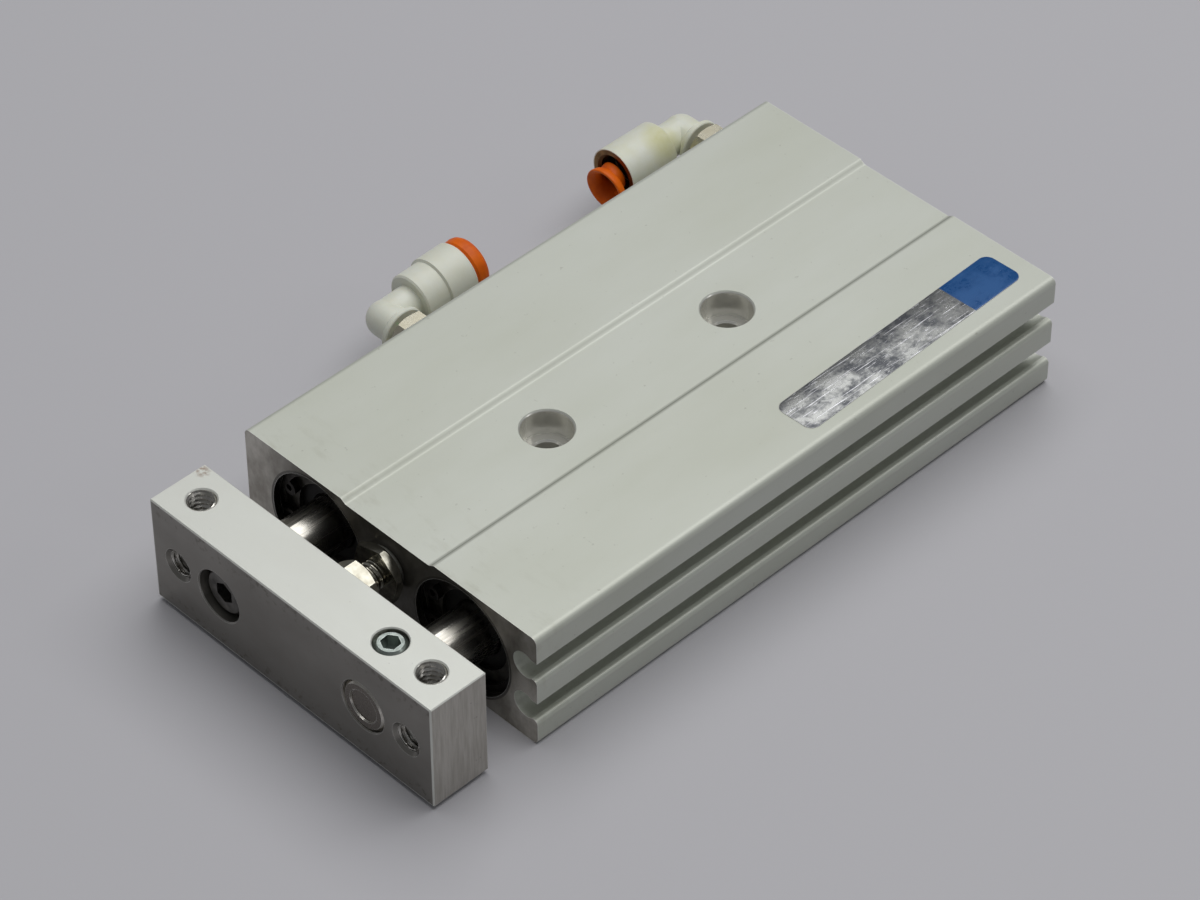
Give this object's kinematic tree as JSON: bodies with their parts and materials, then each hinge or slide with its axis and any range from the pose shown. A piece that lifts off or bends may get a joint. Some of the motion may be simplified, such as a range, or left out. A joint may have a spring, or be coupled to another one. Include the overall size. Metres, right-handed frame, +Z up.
{
  "type": "pneumatic cylinder",
  "caption": "Twin-rod guided pneumatic cylinder with a flat extruded body, a tapped front plate and two push-in elbow fittings.",
  "frame": {"origin": "midway between the two mounting holes, on the plane of the two rods (the body's mid-height)", "axes": "+X is the way the rods extend, +Y the side with the sensor grooves, +Z up through the mounting holes"},
  "size_m": [0.1193, 0.0731, 0.0196],
  "materials": {
    "anodised_body": "satin anodised, pale greenish grey",
    "anodised_plate": "satin anodised top, milled ends",
    "machined_aluminium": "turned",
    "sintered_bronze": "porous, oiled",
    "hard_chromed_rod": "ground and chromed",
    "spring_steel": "phosphated",
    "blackened_screw": "black oxide",
    "zinc_screw": "bright zinc",
    "nickel_plate": "nickel plated",
    "zinc_nut": "zinc plated, dull",
    "bumper_resin": "moulded",
    "fitting_resin": "moulded, yellowed off-white",
    "collar_resin": "moulded, orange",
    "guide_brass": "dull",
    "wear_ring_resin": "moulded",
    "magnet_rubber": "bonded magnet",
    "seal_rubber": "moulded"
  },
  "bodies": {
    "cylinder_body": {"housing": "anodised_body", "rod_cover_a": "machined_aluminium", "guide_bush_a": "sintered_bronze", "rod_seal_a": "seal_rubber", "cover_o_ring_a": "seal_rubber", "front_retaining_ring_a": "spring_steel", "head_cover_a": "machined_aluminium", "head_o_ring_a": "seal_rubber", "rear_retaining_ring_a": "spring_steel", "rod_cover_b": "machined_aluminium", "guide_bush_b": "sintered_bronze", "rod_seal_b": "seal_rubber", "cover_o_ring_b": "seal_rubber", "front_retaining_ring_b": "spring_steel", "head_cover_b": "machined_aluminium", "head_o_ring_b": "seal_rubber", "rear_retaining_ring_b": "spring_steel", "front_port_stem": "nickel_plate", "front_port_gasket": "seal_rubber", "front_stem_o_ring": "seal_rubber", "rear_port_stem": "nickel_plate", "rear_port_gasket": "seal_rubber", "rear_stem_o_ring": "seal_rubber"},
    "rod_assembly": {"tooling_plate": "anodised_plate", "rod_a": "hard_chromed_rod", "rod_b": "hard_chromed_rod", "cap_screw": "blackened_screw", "set_screw": "zinc_screw", "bumper_bolt": "nickel_plate", "bumper_pad": "bumper_resin", "lock_nut": "zinc_nut", "magnet_ring": "magnet_rubber", "piston_a": "machined_aluminium", "piston_seal_a": "seal_rubber", "wear_ring_a": "wear_ring_resin", "end_cushion_a": "seal_rubber", "piston_b": "machined_aluminium", "piston_seal_b": "seal_rubber", "wear_ring_b": "wear_ring_resin", "end_cushion_b": "seal_rubber"},
    "front_elbow_body": {"front_elbow": "fitting_resin", "front_tube_seal": "seal_rubber", "front_grip_collet": "spring_steel", "front_guide_ring": "guide_brass"},
    "front_collar_body": {"front_release_collar": "collar_resin"},
    "rear_elbow_body": {"rear_elbow": "fitting_resin", "rear_tube_seal": "seal_rubber", "rear_grip_collet": "spring_steel", "rear_guide_ring": "guide_brass"},
    "rear_collar_body": {"rear_release_collar": "collar_resin"}
  },
  "joints": [
    {"name": "rod_slide", "type": "slide", "parent": "cylinder_body", "child": "rod_assembly", "axis": [1, 0, 0], "range_m": [0, 0.04]},
    {"name": "front_elbow_swivel", "type": "hinge", "parent": "cylinder_body", "child": "front_elbow_body", "pos_m": [0.011, -0.0285, 0], "axis": [0, 1, 0], "continuous": true},
    {"name": "front_collar_slide", "type": "slide", "parent": "front_elbow_body", "child": "front_collar_body", "axis": [-0.9994, 0, 0.0349], "range_m": [0, 0.001]},
    {"name": "rear_elbow_swivel", "type": "hinge", "parent": "cylinder_body", "child": "rear_elbow_body", "pos_m": [-0.049, -0.0285, 0], "axis": [0, 1, 0], "continuous": true},
    {"name": "rear_collar_slide", "type": "slide", "parent": "rear_elbow_body", "child": "rear_collar_body", "axis": [1, 0, 0], "range_m": [-0.001, 0]}
  ]
}
